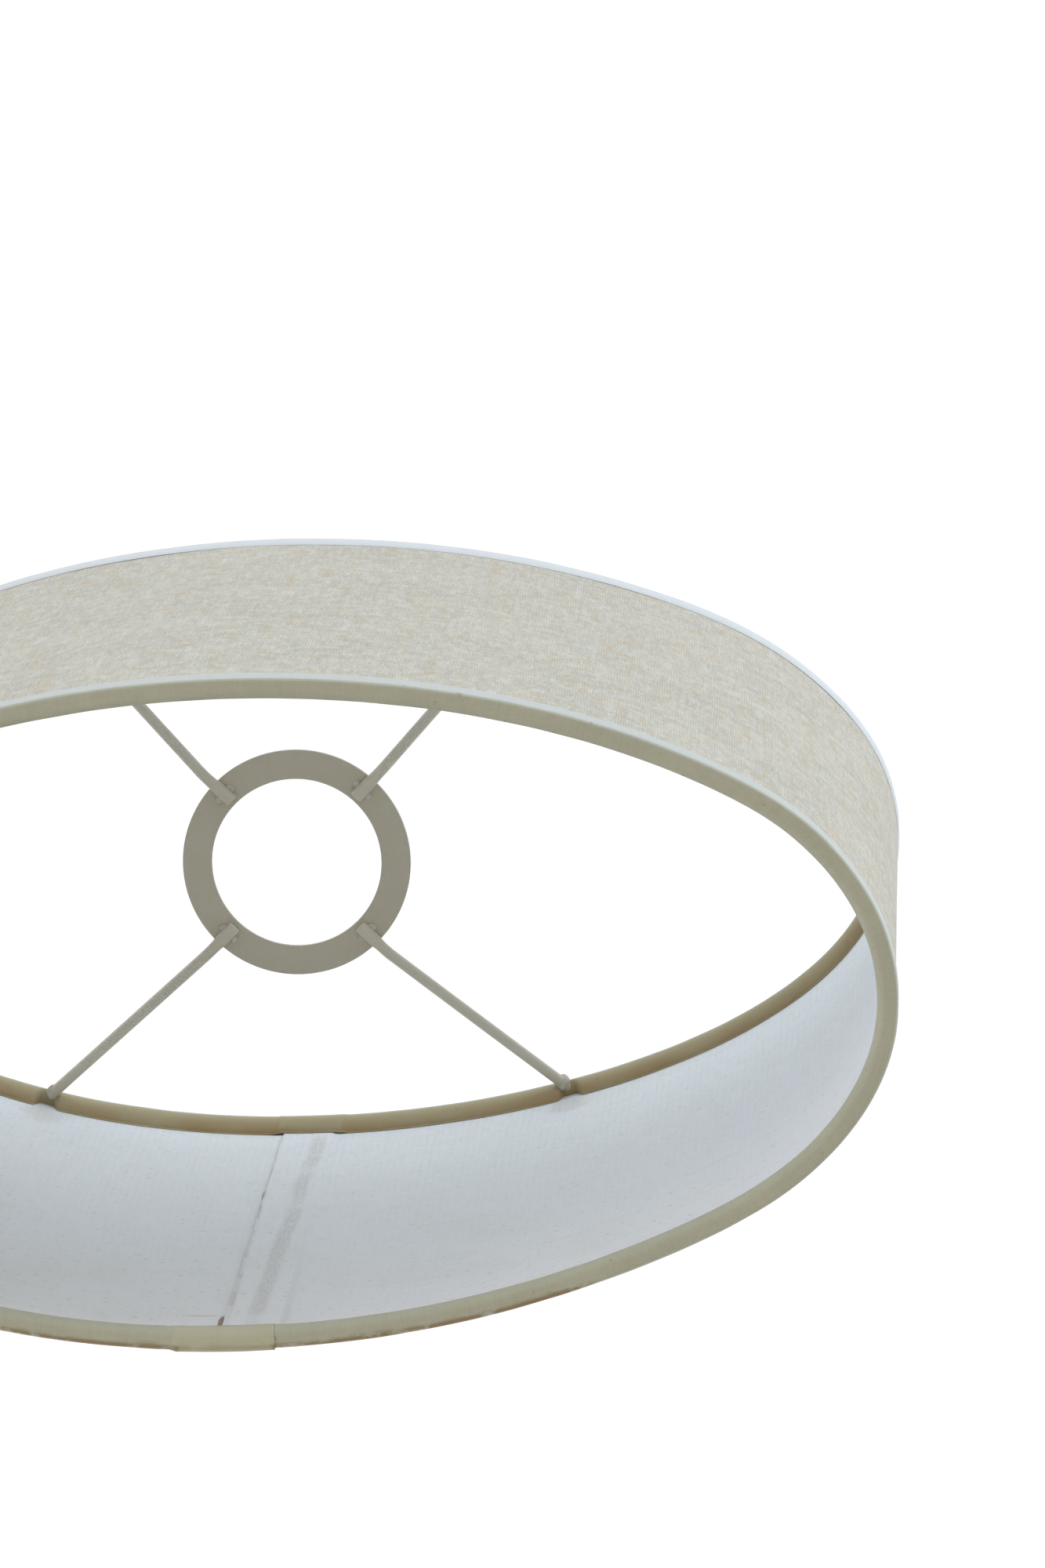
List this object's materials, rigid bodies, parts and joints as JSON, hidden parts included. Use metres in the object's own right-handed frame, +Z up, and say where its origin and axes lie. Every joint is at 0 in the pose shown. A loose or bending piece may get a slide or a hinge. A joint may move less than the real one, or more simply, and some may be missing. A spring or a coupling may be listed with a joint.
{
  "type": "lamp shade",
  "caption": "Straight oval drum shade of linen over white lining, with taped edges on wire rims and a recessed fitter ring on bent spokes for a standard lamp holder.",
  "frame": {"origin": "centre of the oval on the plane that the bottom edge stands on", "axes": "+Z up along the fitter bore; +X along the oval's long axis; +Y along its short axis, towards the back, where the seam is"},
  "size_m": [0.3, 0.15, 0.22],
  "materials": {
    "cover_linen": "matt slubby linen weave",
    "lining_white": "matt white laminated sheet",
    "seam_glue": "dried translucent adhesive",
    "frame_paint": "satin off-white paint",
    "weld_metal": "painted weld bead with light rust",
    "tape_cloth": "matt fine woven cotton tape"
  },
  "bodies": {
    "root": {"cover": "cover_linen", "cover_seam_lap": "cover_linen", "lining": "lining_white", "lining_seam_lap": "lining_white", "seam_adhesive": "seam_glue", "top_wire_rim": "frame_paint", "bottom_wire_rim": "frame_paint", "rim_butt_welds": "weld_metal", "fitter_ring": "frame_paint", "spoke_back_right": "frame_paint", "spoke_back_left": "frame_paint", "spoke_front_left": "frame_paint", "spoke_front_right": "frame_paint", "spoke_ring_welds": "weld_metal", "spoke_rim_welds": "weld_metal", "top_tape": "tape_cloth", "bottom_tape": "tape_cloth", "top_tape_join": "tape_cloth", "bottom_tape_join": "tape_cloth"}
  },
  "joints": []
}
